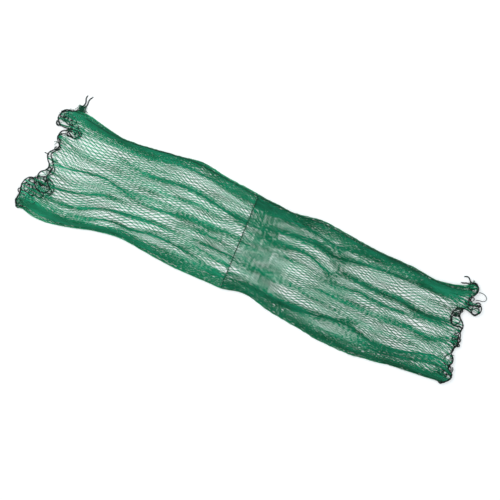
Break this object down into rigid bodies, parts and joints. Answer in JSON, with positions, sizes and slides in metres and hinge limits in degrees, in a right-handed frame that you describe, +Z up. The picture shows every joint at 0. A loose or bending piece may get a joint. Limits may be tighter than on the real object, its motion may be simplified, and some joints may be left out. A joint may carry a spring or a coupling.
{
  "type": "netting sleeve",
  "caption": "Open-ended flattened sleeve of knotted green twine netting, laced at the middle and edged with dark cord at both mouths.",
  "frame": {"origin": "middle of the lacing seam that joins the two lengths of netting, on the surface that the net lies on", "axes": "+X along the sleeve towards its longer half, +Y across it towards the laced back edge, +Z up, away from the surface it lies on"},
  "size_m": [1.5705, 0.4414, 0.0163],
  "materials": {
    "netting_twine": "twisted green netting twine, slightly shiny",
    "bundled_twine": "the same twine gathered into a dense roll",
    "mouth_cord": "laid cord, near black green",
    "lacing_cord": "thin laid cord, dark green",
    "cord_knot": "tight knots and whippings of the same cord",
    "tying_twine": "thin grey-green tying twine"
  },
  "bodies": {
    "left_half": {"left_net_upper": "netting_twine", "left_net_lower": "netting_twine", "left_back_bundle": "bundled_twine", "left_front_bundle": "bundled_twine", "left_side_lacing": "lacing_cord", "left_mouth_cord": "mouth_cord", "left_mouth_knot": "cord_knot", "left_corner_lashing": "cord_knot", "left_long_end": "mouth_cord", "left_short_end": "mouth_cord", "left_splice_stub": "cord_knot"},
    "right_half": {"right_net_upper": "netting_twine", "right_net_lower": "netting_twine", "right_back_bundle": "bundled_twine", "right_front_bundle": "bundled_twine", "right_side_lacing": "lacing_cord", "right_mouth_cord": "mouth_cord", "right_mouth_knot": "cord_knot", "right_corner_lashing": "cord_knot", "right_long_end": "mouth_cord", "right_short_end": "mouth_cord", "right_tie_loop": "tying_twine", "seam_lacing": "lacing_cord"}
  },
  "joints": [
    {"name": "seam_fold", "type": "hinge", "parent": "right_half", "child": "left_half", "pos_m": [0, 0, 0.0165], "axis": [0, 1, 0], "range_deg": [0, 179.5]}
  ]
}
